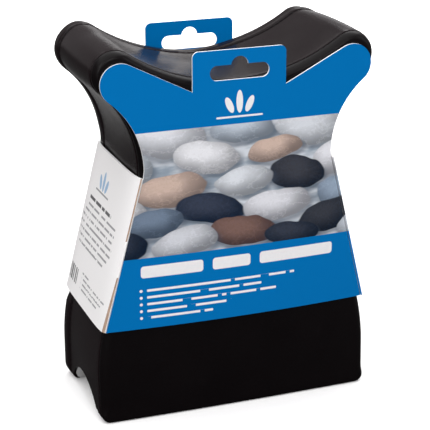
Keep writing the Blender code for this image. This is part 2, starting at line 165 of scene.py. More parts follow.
def crown(depth, height):
    # how far the band swells between its seams
    middle = (rearSeam - frontSeam) / 2
    across = (depth - middle) / (rearSeam - middle)
    return block["bandCrown"] * max(0, 1 - across**2) * np.minimum(1, height / block["flankStart"])


class Outline:
    # the block's outline in steps of about that many millimetres
    def __init__(self, step):
        self.upper = upperOutline(step)
        count = math.ceil(sideLength / step)
        self.sideShares = np.linspace(0, 1, count + 1)[:-1]
        self.bottomCount = math.ceil(2 * halfWidth / (2.5 * step))

    def right(self, start=0):
        lengths = start + (sideLength - start) * self.sideShares
        angles = np.minimum(lengths / cornerRadius, math.pi / 2)
        normals = np.stack([np.sin(angles), -np.cos(angles)], 1)
        points = np.array([halfWidth - cornerRadius, cornerRadius]) + cornerRadius * normals
        points[:, 1] += np.maximum(0, lengths - cornerLength)
        return np.vstack([points, self.upper[0]]), np.vstack([normals, self.upper[1]])

    def strip(self, depth, inset, start=0):
        # from the right toe over the cradle to the left toe, with one inset or one for each point
        points, normals = self.right(start)
        swell = crown(depth, points[:, 1])
        points, normals = (np.vstack([half, half[-2::-1] * [-1, 1]]) for half in (points, normals))
        return points - (inset - np.append(swell, swell[-2::-1]))[:, None] * normals

    def loop(self, depth, inset, start=0):
        strip = self.strip(depth, inset, start)
        shares = np.linspace(0, 1, self.bottomCount + 1)[1:-1, None]
        return np.vstack([strip, strip[-1] + (strip[0] - strip[-1]) * shares])


fineOutline = Outline(1.0)
coarseOutline = Outline(3.0)


def halfWidthAt(height):
    points = fineOutline.upper[0]
    climb = points[: int(np.argmax(points[:, 0] * (points[:, 1] > waistHeight))) + 1]
    climb = climb[climb[:, 1] <= hornCentre[1]]
    return float(np.interp(height, climb[:, 1], climb[:, 0]))


creaseTop = halfWidthAt(sleeveTop) + sleeve["easeTop"]
creaseFoot = halfWidthAt(sleeveFoot) + sleeve["easeFoot"]


def sleeveShare(height):
    # from 0 at the sleeve's foot to 1 where its side panels end
    return (height - sleeveFoot) / (sleeveTop - sleeveFoot)


def creaseAt(height):
    return creaseFoot + (creaseTop - creaseFoot) * sleeveShare(height)


def bowed(points):
    # sets the front half back towards its side edges, as the sleeve squeezes it
    points = np.array(points, dtype=float)
    x, y, z = points.T
    atSleeve, atFloor = block["bowAtSleeve"], block["bowAtFloor"]
    above = atSleeve * np.maximum(0, sleeveTop - z) / (sleeveTop - sleeveFoot)
    below = atFloor + (atSleeve - atFloor) * z / sleeveFoot
    depth = np.where(z > sleeveFoot, above, below)
    across = np.minimum(1, np.abs(x) / creaseAt(np.clip(z, sleeveFoot, sleeveTop)))
    points[:, 1] = np.where(y < 0, y * (1 - depth * across**2 / halfDepth), y)
    return points


def atDepth(flat, depth):
    # a drawing in the front view, set at a depth
    return np.stack([flat[:, 0], np.full(len(flat), float(depth)), flat[:, 1]], 1)


# Arch through the base from side to side, with its height at each depth, and a longer toe at the rear
def archSide(depth):
    return max(-depth, depth * block["rearToeReach"])


def archAt(depth, rise=0):
    side = archSide(depth)
    radius = archRadius + rise
    if side >= toeStart:
        return rise
    if side > toeStart * radius / (archRadius + toeFillet):
        return toeFillet - math.sqrt((toeFillet - rise) ** 2 - (toeStart - side) ** 2)
    return archHeight - archRadius + math.sqrt(radius**2 - side**2)


def archNormal(depth):
    side, height = archSide(depth), archAt(depth)
    if side >= toeStart:
        return np.array([0.0, 1.0])
    if side > toeStart * archRadius / (archRadius + toeFillet):
        inward = np.array([toeStart - side, toeFillet - height])
    else:
        inward = np.array([side, height - archHeight + archRadius])
    return inward / np.linalg.norm(inward) * [math.copysign(1, depth), 1]


def sideStart(height, inset):
    # how far along the side a layer that far in reaches the height
    if height >= cornerRadius:
        return cornerLength + height - cornerRadius
    return cornerRadius * math.acos(min(1, (cornerRadius - height) / (cornerRadius - inset)))


# Meshes
def ringFaces(rings, count, closed=True):
    faces = []
    for ring in range(rings - 1):
        low, high = ring * count, (ring + 1) * count
        for i in range(count if closed else count - 1):
            j = (i + 1) % count
            faces.append((low + i, low + j, high + j, high + i))
    return faces


def poleFaces(pole, first, count):
    return [(pole, first + i, first + (i + 1) % count) for i in range(count)]


def domeFaces(rings, count):
    # rings that close over one last point
    return ringFaces(rings, count) + poleFaces(rings * count, (rings - 1) * count, count)


def placed(name, data):
    made = bpy.data.objects.new(name, data)
    bpy.context.scene.collection.objects.link(made)
    return made


def turnedOver(faces, shift=0):
    return [tuple(at + shift for at in reversed(face)) for face in faces]


def walled(outer, inner, faces):
    # a sheet with thickness, and which of its faces are outer, inner or wall
    count = len(outer)
    edges = {(face[i - 1], face[i]) for face in faces for i in range(len(face))}
    walls = [(b, a, a + count, b + count) for a, b in sorted(edges) if (b, a) not in edges]
    backs = turnedOver(faces, count)
    kinds = [0] * len(faces) + [1] * len(backs) + [2] * len(walls)
    return np.vstack([outer, inner]), faces + backs + walls, kinds


def facingOut(points, faces):
    # turns all faces over if the closed mesh is inside out
    fans = [(face[0], face[i], face[i + 1]) for face in faces for i in range(1, len(face) - 1)]
    a, b, c = points[np.array(fans)].transpose(1, 0, 2)
    volume = np.einsum("ij,ij->", a, np.cross(b, c))
    return faces if volume > 0 else turnedOver(faces)


def makePiece(name, points, faces, materials, body, replaced=(), kinds=None, sharp=40):
    mesh = bpy.data.meshes.new(name)
    mesh.from_pydata((points * metre).tolist(), [], facingOut(points, faces))
    for material in materials:
        mesh.materials.append(material)
    if kinds is not None:
        mesh.polygons.foreach_set("material_index", kinds)
    mesh.polygons.foreach_set("use_smooth", [True] * len(mesh.polygons))
    mesh.set_sharp_from_angle(angle=math.radians(sharp))
    mesh.validate()
    piece = placed(name, mesh)
    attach(piece, body)
    if replaced:
        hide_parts(*replaced)
    return piece


# Materials
class Wire:
    # a node's output that can be used in sums
    def __init__(self, paint, socket):
        self.paint = paint
        self.socket = socket

    def __add__(self, other):
        return self.paint.maths("ADD", self, other)

    def __sub__(self, other):
        return self.paint.maths("SUBTRACT", self, other)

    def __rsub__(self, other):
        return self.paint.maths("SUBTRACT", other, self)

    def __mul__(self, other):
        return self.paint.maths("MULTIPLY", self, other)

    def __truediv__(self, other):
        return self.paint.maths("DIVIDE", self, other)

    def __rtruediv__(self, other):
        return self.paint.maths("DIVIDE", other, self)

    def __abs__(self):
        return self.paint.maths("ABSOLUTE", self)

    def __lt__(self, other):
        return self.paint.maths("LESS_THAN", self, other)

    def __gt__(self, other):
        return self.paint.maths("GREATER_THAN", self, other)

    __radd__ = __add__
    __rmul__ = __mul__


class Paint:
    # one material, and the nodes that feed its shader
    def __init__(self, name, **finish):
        self.material = bpy.data.materials.new(name)
        self.material.use_nodes = True
        self.tree = self.material.node_tree
        self.shader = self.tree.nodes["Principled BSDF"]
        for socket, value in finish.items():
            self.shader.inputs[socket.replace("_", " ")].default_value = value

    def plug(self, socket, value):
        if isinstance(value, Wire):
            self.tree.links.new(value.socket, socket)
        else:
            socket.default_value = value

    def node(self, kind, settings=None, inputs=None, output=0):
        made = self.tree.nodes.new("ShaderNode" + kind)
        for name, value in (settings or {}).items():
            setattr(made, name, value)
        for socket, value in (inputs or {}).items():
            self.plug(made.inputs[socket], value)
        return Wire(self, made.outputs[output])

    def maths(self, operation, *values):
        return self.node("Math", {"operation": operation}, dict(enumerate(values)))

    def mix(self, share, first, second):
        return self.node("Mix", {"data_type": "RGBA"}, {0: share, 6: first, 7: second}, 2)

    def between(self, value, low, high):
        # runs smoothly from 0 to 1 as the value goes from low to high
        inputs = {"Value": value, "From Min": low, "From Max": high}
        return self.node("MapRange", {"interpolation_type": "SMOOTHSTEP"}, inputs)

    def place(self):
        # the point's place in millimetres, as a vector and as x, y and z
        made = self.node("TexCoord", output=3)
        made = self.node("VectorMath", {"operation": "SCALE"}, {0: made, "Scale": 1 / metre})
        self.spot = made
        return [self.node("SeparateXYZ", None, {0: made}, axis) for axis in range(3)]

    def noise(self, scale, detail=2.0, roughness=0.5, stretch=(1, 1, 1)):
        # scale is in bumps per millimetre
        spot = self.node("VectorMath", {"operation": "MULTIPLY"}, {0: self.spot, 1: stretch})
        inputs = {"Vector": spot, "Scale": scale, "Detail": detail, "Roughness": roughness}
        return self.node("TexNoise", None, inputs)

    def cells(self, scale, feature="F1", output=0):
        return self.node("TexVoronoi", {"feature": feature}, {"Vector": self.spot, "Scale": scale}, output)

    def feed(self, **sockets):
        for name, value in sockets.items():
            self.plug(self.shader.inputs[name.replace("_", " ")], value)

    def bump(self, height, depth):
        # depth is in millimetres
        self.feed(Normal=self.node("Bump", None, {"Height": height, "Distance": depth * metre}))


def grey(level):
    return (level, level, level, 1)


# the faces are the band's vinyl, with their colour painted darker as shade
vinylLook = {
    "shadedFaceColour": (0.0028, 0.0020, 0.0023, 1),
    "bandColour": (0.0070, 0.0046, 0.0052, 1),
    "faceRoughness": 0.33,
    "bandRoughness": 0.23,
    "specular": 0.10,
    "grain": 1.6,
    "grainDepth": 0.03,
    "creaseDepth": 0.05,
}


def vinylPaint(name, colour, roughness):
    paint = Paint(name, Specular_IOR_Level=vinylLook["specular"], Roughness=roughness)
    paint.place()
    cloudy = paint.noise(0.045, 3)
    worn = paint.between(paint.noise(0.16, 4, 0.6), 0.58, 0.8)
    pores = paint.cells(vinylLook["grain"])
    creases = paint.cells(vinylLook["grain"] * 0.55, "DISTANCE_TO_EDGE")
    fine = paint.noise(vinylLook["grain"] * 2.5, 3)
    lighter = tuple(min(1, 1.5 * part) for part in colour[:3]) + (1,)
    paint.feed(Base_Color=paint.mix(cloudy * 0.8 + worn * 0.35, colour, lighter))
    paint.feed(Roughness=roughness - 0.06 + cloudy * 0.12 + worn * 0.05)
    mottle = paint.noise(0.35, 3, 0.6) * (vinylLook["creaseDepth"] / vinylLook["grainDepth"])
    relief = pores * 0.5 + paint.between(creases, 0, 0.3) * 0.6 + fine * 0.4 + mottle
    paint.bump(relief, vinylLook["grainDepth"])
    return paint.material


def liningPaint(name):
    # the lighter, grippy lining of the arch
    paint = Paint(name, Roughness=0.75, Specular_IOR_Level=0.2)
    paint.place()
    pimples, cloudy = paint.cells(0.8), paint.noise(0.12, 3)
    paint.feed(Base_Color=paint.mix(cloudy * 0.6 + pimples * 0.4, grey(0.60), grey(0.84)))
    paint.bump(pimples + cloudy * 0.3, 0.12)
    return paint.material


def threadPaint(name):
    paint = Paint(name, Roughness=0.7, Specular_IOR_Level=0.1)
    paint.place()
    inputs = {"Vector": paint.spot, "Scale": 1.4, "Distortion": 0.6, "Detail": 2.0}
    twist = paint.node("TexWave", {"bands_direction": "DIAGONAL"}, inputs, 1)
    paint.feed(Base_Color=paint.mix(twist, (0.003, 0.003, 0.0033, 1), (0.012, 0.011, 0.012, 1)))
    paint.bump(twist, 0.05)
    return paint.material


def foamPaint(name):
    paint = Paint(name, Roughness=0.95, Specular_IOR_Level=0.2)
    paint.place()
    cells = paint.cells(0.9, "SMOOTH_F1")
    paint.feed(Base_Color=paint.mix(cells, (0.36, 0.33, 0.25, 1), (0.62, 0.58, 0.46, 1)))
    paint.bump(cells, 0.4)
    return paint.material


cardLook = {
    "blue": (0.0, 0.144, 0.412, 1),
    "fibreBlue": (0.0, 0.11, 0.32, 1),
    "white": (0.80, 0.79, 0.79, 1),
    "panelWhite": (0.86, 0.85, 0.85, 1),
    "ink": (0.09, 0.09, 0.095, 1),
    "softInk": (0.30, 0.30, 0.31, 1),
    "paleBlue": (0.30, 0.46, 0.66, 1),
    "pictureTop": 150.0,
    "pictureFoot": 86.7,
    "roughness": 0.36,
}
# plain marks of three petals over a bar: each has its x and height, the petals' spread, how much lower the
# outer ones lie as a share of it, their half width and half heights, and the bar's ends and height
frontMark = (0, 161.0), 5.2, 0.28, 1.7, (5.6, 4.2), (-12, 12, 153.6)
panelMark = (-7.5, 113.6), 5.0, 0.26, 1.6, (5.0, 3.8), (-18, 3, 107.6)
# where the bars and the dashed lines of the prints start and end
titleBars = {"height": 79.4, "thick": 6.2, "ends": [(-51, -19), (-14, 6), (11, 51)]}
frontLines = {"height": 69.6, "pitch": 3.6, "start": -48, "ends": [30, 12, 20, -4, -14]}
panelLines = [(-27, 22), (-29.5, 23), (-32, 21), (-32.5, 22.5), (-32.5, 23), (-31, 19), (-30, 15)]
panelFootLines = {"height": 64.6, "pitch": 2.6, "start": -12, "ends": [-1, 27, 23, 18]}
# x, height, half width, half height, tilt in degrees and colour of each pebble of the front's picture
pebbles = [
    (-38, 146, 21, 9.0, -5, (0.60, 0.61, 0.64)),
    (2, 148, 17, 7.0, 4, (0.42, 0.47, 0.53)),
    (38, 145, 19, 8.5, -7, (0.55, 0.57, 0.60)),
    (-58, 130, 15, 9.0, 12, (0.50, 0.54, 0.58)),
    (19, 136, 15, 6.5, 9, (0.50, 0.37, 0.30)),
    (-17, 135, 17, 8.0, -6, (0.66, 0.66, 0.68)),
    (52, 128, 13, 9.5, 15, (0.63, 0.63, 0.66)),
    (-35, 120, 19, 9.0, 5, (0.50, 0.37, 0.30)),
    (31, 122, 16, 8.0, -10, (0.028, 0.026, 0.028)),
    (2, 121, 15, 7.5, 7, (0.58, 0.60, 0.63)),
    (-62, 111, 14, 8.0, -8, (0.66, 0.66, 0.68)),
    (57, 109, 15, 8.5, -6, (0.24, 0.30, 0.38)),
    (-16, 108, 18, 8.0, -8, (0.020, 0.024, 0.040)),
    (20, 107, 19, 8.5, 5, (0.60, 0.60, 0.63)),
    (-44, 103, 15, 7.5, 8, (0.13, 0.17, 0.23)),
    (48, 97, 17, 8.5, 9, (0.022, 0.021, 0.023)),
    (-62, 93, 15, 8.0, -5, (0.016, 0.019, 0.030)),
    (2, 95, 18, 8.0, -4, (0.15, 0.080, 0.056)),
    (-28, 92, 17, 7.5, 6, (0.52, 0.53, 0.56)),
    (28, 90, 15, 6.5, -8, (0.018, 0.020, 0.028)),
    (67, 90, 13, 7.0, 4, (0.46, 0.49, 0.53)),
]


class Print:
    # flat printing on a card, drawn on two of its directions
    def __init__(self, paint, across, up, ground):
        self.paint, self.across, self.up, self.colour = paint, across, up, ground

    def lay(self, mask, ink):
        self.colour = self.paint.mix(mask, self.colour, ink)

    def bar(self, start, end, middle, thick, ink, rounding=1.0, mask=1.0):
        radius = thick / 2 * rounding
        overX = abs(self.across - (start + end) / 2) - ((end - start) / 2 - radius)
        overZ = abs(self.up - middle) - (thick / 2 - radius)
        overX = self.paint.maths("MAXIMUM", overX, 0)
        overZ = self.paint.maths("MAXIMUM", overZ, 0)
        reach = self.paint.maths("SQRT", overX * overX + overZ * overZ)
        self.lay(self.paint.between(reach, radius + 0.1, radius - 0.1) * mask, ink)

    def oval(self, x, z, wide, tall, tilt, ink, edge=0.15):
        reach = self.ovalReach(x, z, wide, tall, tilt)
        self.lay(self.paint.between(reach, 1 + edge / tall, 1 - edge / tall), ink)

    def ovalReach(self, x, z, wide, tall, tilt):
        turn = math.radians(tilt)
        right, high = self.across - x, self.up - z
        along = (right * math.cos(turn) + high * math.sin(turn)) / wide
        over = (high * math.cos(turn) - right * math.sin(turn)) / tall
        return self.paint.maths("SQRT", along * along + over * over)

    def petals(self, mark, ink, barInk):
        (x, z), spread, fall, wide, talls, bar = mark
        for side in (-1, 0, 1):
            top = z - abs(side * spread) * fall
            self.oval(x + side * spread, top, wide, talls[abs(side)], -24 * side, ink)
        self.bar(*bar, 0.9, barInk)

    def wordGaps(self, pitch, seed, gaps=0.14):
        # breaks a line into words of uneven length
        cell = self.paint.maths("FLOOR", self.across / pitch)
        row = self.paint.maths("ROUND", self.up / 3.6) + seed
        spot = self.paint.node("CombineXYZ", None, {0: cell, 1: row})
        chance = self.paint.node("TexWhiteNoise", {"noise_dimensions": "2D"}, {"Vector": spot})
        return chance > gaps


def drawPicture(card, grain):
    # smooth pebbles lying in pale rippled water
    paint = card.paint
    ripple = paint.noise(0.05, 3, 0.55, (1, 1, 3.2))
    water = paint.mix(paint.between(ripple, 0.35, 0.65), (0.26, 0.31, 0.36, 1), (0.60, 0.63, 0.67, 1))
    # uneven outlines come from bending the drawing a little
    bend = paint.noise(0.06, 2, 0.5)
    lift = paint.noise(0.045, 2, 0.5)
    picture = Print(paint, card.across + (bend - 0.5) * 9, card.up + (lift - 0.5) * 8, water)
    veins = paint.between(abs(paint.noise(0.09, 4, 0.6, (1, 1, 1.8)) - 0.5), 0.035, 0.0)
    for x, z, wide, tall, tilt, colour in pebbles:
        reach = picture.ovalReach(x, z, wide, tall, tilt)
        shadow = picture.ovalReach(x + 1.0, z - 1.8, wide, tall, tilt)
        picture.lay(paint.between(shadow, 1.2, 0.9) * 0.6, (0.05, 0.06, 0.08, 1))
        dark = tuple(0.38 * part for part in colour) + (1,)
        light = tuple(min(1, 1.15 * part + 0.014) for part in colour) + (1,)
        glint = picture.ovalReach(x - 0.2 * wide, z + 0.38 * tall, wide, tall, tilt)
        lit = paint.between(glint, 1.35, 0.15)
        stone = paint.mix(lit * (0.72 + grain * 0.5) + veins * 0.16, dark, light)
        picture.lay(paint.between(reach, 1.035, 0.965), stone)
    return picture.colour


def frontPrint(name):
    paint = Paint(name, Roughness=cardLook["roughness"], Specular_IOR_Level=0.04)
    x, y, z = paint.place()
    fibre = paint.noise(0.9, 3, 0.6)
    # the rear card's print runs the other way across
    card = Print(paint, x * paint.maths("SIGN", y) * -1, z, cardLook["blue"])
    shown = paint.between(z, cardLook["pictureFoot"] - 0.08, cardLook["pictureFoot"] + 0.08)
    shown = shown * paint.between(z, cardLook["pictureTop"] + 0.08, cardLook["pictureTop"] - 0.08)
    card.lay(shown, drawPicture(card, fibre))
    white = cardLook["white"]
    card.petals(frontMark, white, white)
    for start, end in titleBars["ends"]:
        card.bar(start, end, titleBars["height"], titleBars["thick"], white, 0.5)
    words = card.wordGaps(2.3, 3)
    for row, end in enumerate(frontLines["ends"]):
        height = frontLines["height"] - frontLines["pitch"] * row
        card.bar(frontLines["start"], end, height, 1.25, white, 0.6, words)
        card.oval(frontLines["start"] - 3, height, 0.75, 0.75, 0, white)
    paint.feed(Base_Color=paint.mix(fibre * 0.1, card.colour, cardLook["fibreBlue"]))
    paint.feed(Roughness=cardLook["roughness"] - 0.04 + fibre * 0.1)
    paint.bump(fibre, 0.012)
    return paint.material


def panelPrint(name):
    paint = Paint(name, Roughness=0.42, Specular_IOR_Level=0.2)
    x, y, z = paint.place()
    fibre = paint.noise(0.9, 3, 0.6)
    # drawn as seen from outside, on either panel
    card = Print(paint, y * paint.maths("SIGN", x), z, cardLook["panelWhite"])
    softInk = cardLook["softInk"]
    card.petals(panelMark, cardLook["paleBlue"], softInk)
    card.bar(-24.5, 12.5, 101.6, 1.7, cardLook["ink"], 0.5, card.wordGaps(1.5, 11, 0.2))
    words = card.wordGaps(1.3, 5, 0.2)
    for row, (start, end) in enumerate(panelLines):
        card.bar(start, end, 97.8 - 3.45 * row, 1.1, softInk, 0.6, words)
    for row, end in enumerate(panelFootLines["ends"]):
        height = panelFootLines["height"] - panelFootLines["pitch"] * row
        card.bar(panelFootLines["start"], end, height, 0.9, softInk, 0.6, words)
    stripe = paint.maths("SINE", card.across * 1.9) + paint.maths("SINE", card.across * 3.1) * 0.6 > -0.2
    card.bar(-35, -19, 60.0, 8.0, cardLook["ink"], 0.05, stripe)
    paint.feed(Base_Color=paint.mix(fibre * 0.12, card.colour, grey(0.66)))
    paint.bump(fibre, 0.012)
    return paint.material


def boardPaint(name, pale, dark, liner=False):
    # cut edge or bare side of the board, with its layers and maybe a white inner liner
    paint = Paint(name, Roughness=0.85, Specular_IOR_Level=0.2)
    x, y, z = paint.place()
    fibre = paint.noise(1.8, 4, 0.65, (1, 1, 0.35))
    layer = paint.noise(0.9, 2, 0.5, (1, 1, 0.06))
    colour = paint.mix(paint.between(fibre * 0.5 + layer * 0.5, 0.3, 0.7), dark, pale)
    if liner:
        slope = (creaseTop - creaseFoot) / (sleeveTop - sleeveFoot)
        fromOutside = x + (z - sleeveFoot) * slope + creaseFoot
        colour = paint.mix(paint.between(fromOutside, 0.70, 0.76), colour, cardLook["white"])
    paint.feed(Base_Color=colour)
    paint.bump(fibre + layer, 0.05)
    return paint.material


# levels that the floor shows, spreads, gives to mirroring as painted shade, and glows with, and how far off
# it turns white
floorLook = {"shown": (0.94, 0.97), "spread": 0.30, "mirrored": 0.05, "glow": 0.9, "white": (350, 1200)}


def floorPaint():
    # white where the camera sees it, but dim in the light that it spreads and in what the vinyl mirrors, so
    # that the block stays black
    paint = Paint("floorPaint", Roughness=0.9, Specular_IOR_Level=0.0, Emission_Strength=1.0)
    x, y, z = paint.place()
    white = paint.mix(paint.noise(0.01, 2), *(grey(level) for level in floorLook["shown"]))
    seen, mirrored = paint.node("LightPath", output=0), paint.node("LightPath", output="Is Glossy Ray")
    # what the vinyl mirrors is painted shade, dark beside the block, and painted light behind it to the
    # right, then darker again
    away = paint.maths("SQRT", x * x + y * y)
    lighter = paint.between(x, -120, -30) * (0.06 + paint.between(y, 600, 380) * 0.12)
    mirroredShadeAndLight = floorLook["mirrored"] + paint.between(away, 180, 330) * (0.01 + lighter)
    paint.feed(Base_Color=paint.mix(seen, paint.mix(mirrored, grey(floorLook["spread"]), mirroredShadeAndLight), white))
    # the far floor is as white as the backdrop where it is seen
    far = paint.between(away, *floorLook["white"])
    paint.feed(Emission_Color=paint.mix(seen * far, grey(0), grey(floorLook["glow"])))
    return paint.material


print("materials")
# the front skin's vinyl is the band's vinyl painted darker, a painted shade
shadedFaceVinyl = vinylPaint("shadedFaceVinyl", vinylLook["shadedFaceColour"], vinylLook["faceRoughness"])
bandVinyl = vinylPaint("bandVinyl", vinylLook["bandColour"], vinylLook["bandRoughness"])
archLining = liningPaint("archLining")
sewingThread = threadPaint("sewingThread")
openFoam = foamPaint("openFoam")
bluePrint = frontPrint("bluePrint")
whitePrint = panelPrint("whitePrint")
brownEdge = boardPaint("brownEdge", (0.47, 0.34, 0.26, 1), (0.30, 0.20, 0.15, 1), True)
whiteEdge = boardPaint("whiteEdge", (0.93, 0.93, 0.93, 1), (0.80, 0.80, 0.80, 1))


# Skin of the block
# an edge beside a seam has a reach and a depth, and a pucker its depth in the front, band and rear
skinLook = {
    "roundEdge": (1.6, 1.25),
    "steepEdge": (0.45, 0.9),
    "pitch": 3.0,
    "pucker": {-1: 0.17, 0: 0.2, 1: 0.3},
    "footRoll": 1.8,
    "frontTurn": 18,
    "softness": 0.22,
    "baseSoftness": 0.45,
}

# how far rows of skin lie from a seam, and how large the rings of a flat face are beside its rim
seamSteps = (0.03, 0.09, 0.2, 0.38, 0.62, 0.9, 1.25, 1.6)
rollSteps = (2.1, 2.7, 3.4, 4.2, 5.0)
ringShares = (0.985, 0.96, 0.92, 0.87, 0.80, 0.72, 0.62, 0.50, 0.37, 0.24, 0.11)

# how far the band beside the rear seam, and the rear rim, stand proud of the block's outline
flare = {
    "base": (0.2, 1.5),
    "covered": (0.1, 0.3),
    "cradle": (0.7, 1.3),
    "leftSlope": (1.3, 1.8),
    "leftTop": (1.3, 1.9),
    "leftSide": (0.0, 0.9),
    "rightSlope": (1.3, 2.4),
    "rightTop": (-0.1, 0.3),
    "rightSide": (0.0, 0.3),
    "start": 3.0,
    "reach": (0.4, 2.5),
}


def smooth(value, low, high):
    share = np.clip((value - low) / (high - low), 0, 1)
    return share * share * (3 - 2 * share)


def flareLine(half, which):
    # round one half of the outline, for the band (0) or the rim (1)
    points, normals = fineOutline.right()
    x, z = points.T
    keys = ("cradle", half + "Slope", half + "Top", half + "Side")
    cradle, slope, top, outer = (flare[key][which] for key in keys)
    inward = np.interp(x, [0, 22, 54, hornCentre[0] + 1], [cradle, slope, slope, top])
    high = np.where(normals[:, 0] > 0, top + (outer - top) * smooth(normals[:, 0], 0, 0.85), inward)
    low = flare["base"][which] * smooth(z, 0.3, 8)
    swell = np.where(z < (sleeveFoot + sleeveTop) / 2, low, high)
    covered = smooth(z, 42, 48.5) * (1 - smooth(z, 129, 141))
    return swell + (flare["covered"][which] - swell) * covered


bandFlare, rimFlare = (np.append(flareLine("right", at), flareLine("left", at)[-2::-1]) for at in (0, 1))


def lifted(depth):
    # how far a row of the band stands proud
    return bandFlare * smooth(depth, flare["start"], rearSeam)


def rimLifted(side, fromSeam):
    if side < 0:
        return 0
    step, slope = (1 - max(0, 1 - fromSeam / reach) ** 2 for reach in flare["reach"])
    return bandFlare + (rimFlare - bandFlare) * (0.45 * step + 0.55 * slope)


def footStart(depth, inset):
    # where a layer of the outline starts, above the arch
    return sideStart(archAt(depth, inset), inset) if archSide(depth) < toeStart else 0


def seamDip(fromSeam, edge):
    # how far a skin turns in beside a seam, over an edge of that reach and depth
    reach, sink = skinLook[edge]
    short = min(1, max(0, 1 - fromSeam / reach))
    return sink * (1 - math.sqrt(1 - short**2))


def bandDip(depth):
    return seamDip(depth + frontSeam, "steepEdge") + seamDip(rearSeam - depth, "roundEdge")


def underside(dip):
    # how far in the back of a skin lies under a dip
    return max(block["vinyl"], dip + 0.45)


def along(points):
    # how far each point of a ring lies along it
    steps = np.linalg.norm(np.diff(points, axis=0, append=points[:1]), axis=1)
    return np.concatenate([[0], np.cumsum(steps)[:-1]])


def puckered(loop, outward, fromSeam, side=0):
    # pulls a ring of skin in at each stitch, most of all beside the seam
    pull = skinLook["pucker"][side] * math.exp(-((fromSeam / 1.6) ** 2))
    wave = 0.5 + 0.5 * np.cos(2 * math.pi * along(loop) / skinLook["pitch"])
    return loop - outward * (pull * wave)[:, None]


def ringNormals(loop):
    # directions out of a ring that runs from the right toe over the top to the left toe
    ahead = np.roll(loop, -1, 0) - np.roll(loop, 1, 0)
    length = np.maximum(np.linalg.norm(ahead, axis=1, keepdims=True), 1e-9)
    return np.stack([ahead[:, 1], -ahead[:, 0]], 1) / length


def soften(points, side):
    # the shallow hollows of a skin over foam, which are never above its surface
    moved = points.copy()
    for i, (x, y, z) in enumerate(points):
        wide = noise.noise(Vector((x, y * 0.6, z)) / 26 + Vector((side * 7.3, 0, 3.1)))
        small = noise.noise(Vector((x, y * 0.6, z)) / 9 + Vector((1.7, side * 4.1, 0)))
        base = min(1, max(0, (sleeveFoot - 3 - z) / 12))
        depth = skinLook["softness"] + (skinLook["baseSoftness"] - skinLook["softness"]) * base
        hollow = depth * (0.5 + 0.5 * (0.8 * wide + 0.2 * small))
        moved[i, 1] -= side * hollow
    return moved


def nearFoot(heights):
    return 1 - smooth(heights, 1, 9)


def faceRing(rim, share, depth):
    # the rim of a flat face, shrunk towards the middle of that face
    return atDepth(faceCentre + (rim - faceCentre) * share, depth)


def faceSkin(name, side, seam, material, rollDepth, replaced):
    roll = block["rollRadius"]
    rollStart = halfDepth - rollDepth
    straight = rollStart - seam
    edge = "roundEdge" if side < 0 else "steepEdge"
    # the front's roll starts a little turned already
    turned = math.radians(skinLook["frontTurn"]) if side < 0 else 0
    sections = [(at, turned) for at in seamSteps + rollSteps if at < straight - 0.15]
    for turn in np.linspace(turned, math.pi / 2, 11):
        share = (math.sin(turn) - math.sin(turned)) / (1 - math.sin(turned))
        sections.append((straight + rollDepth * share, turn))
    # the roll is tighter along the foot
    footRoll = skinLook["footRoll"]
    rollAt = roll + (footRoll - roll) * nearFoot(fineOutline.strip(0, 0)[:, 1])
    rings = []
    for fromSeam, turn in sections:
        level = math.cos(turn) / math.cos(turned)
        inset = rollAt * (1 - level) + seamDip(fromSeam, edge) - level * rimLifted(side, fromSeam)
        flat = fineOutline.loop(side * (seam + fromSeam), inset)
        ring = atDepth(puckered(flat, ringNormals(flat), fromSeam, side), side * (seam + fromSeam))
        if turn > turned:
            ahead = 1 - (fromSeam - straight) / rollDepth
            ring[:, 1] += side * nearFoot(flat[:, 1]) * (rollDepth - footRoll) * ahead
        rings.append(ring)
    rim = fineOutline.loop(side * halfDepth, rollAt)
    count = len(rim)
    face = [faceRing(rim, share, side * halfDepth) for share in ringShares]
    face = np.vstack(face + [faceRing(rim[:1], 0, side * halfDepth)])
    # the hollows start a little inside the rim
    blend = np.append(np.repeat([min(1, (1 - share) / 0.05) for share in ringShares], count), 1)
    face[:, 1] += (soften(face, side)[:, 1] - face[:, 1]) * blend
    thick = block["vinyl"]
    backSections = [(seam + seamSteps[0], underside(seamDip(seamSteps[0], edge))), (seam + 0.8, thick)]
    backSections += [(rollStart + 0.7 * (roll - thick), thick + 0.8), (halfDepth - thick, roll)]
    backs = []
    for depth, inset in backSections:
        flat = fineOutline.loop(side * depth, inset, footStart(depth, inset))
        backs.append(atDepth(flat, side * depth))
    for ring, share in ((rim, 0.5), (rim[:1], 0)):
        backs.append(faceRing(ring, share, side * (halfDepth - thick)))
    outer = np.vstack(rings + [face])
    shift = len(outer)
    faces = domeFaces(shift // count, count) + turnedOver(domeFaces(len(backs) - 1, count), shift)
    faces += [((i + 1) % count, i, shift + i, shift + (i + 1) % count) for i in range(count)]
    points = bowed(np.vstack([outer] + backs))
    piece = makePiece(name, points, faces, [material], "block", replaced)


def archRows():
    join = toeStart * archRadius / (archRadius + toeFillet)
    toe = np.linspace(join, toeStart, 6)
    rows = [*-toe[::-1], *np.linspace(-join, join, 22)[1:-1], *toe]
    return [at if at < 0 else at / block["rearToeReach"] for at in rows]


def bandDepths():
    # rows across the band, closer together beside the seams and where the arch meets the toes
    front = [-frontSeam + at for at in seamSteps]
    rear = [rearSeam - at for at in seamSteps]
    spread = [at for at in archRows() if fromSeams(at) > seamSteps[-1] + 0.1]
    return sorted(set(round(float(at), 4) for at in front + spread + rear + [-toeStart]))


def fromSeams(depth):
    return min(depth + frontSeam, rearSeam - depth)


def sheetSkin(name, outer, inner, material, replaced):
    # a skin from its rows outside and inside
    faces = ringFaces(len(outer), len(outer[0]), closed=False)
    points, faces, _ = walled(np.vstack(outer), np.vstack(inner), faces)
    piece = makePiece(name, bowed(points), faces, [material], "block", replaced)


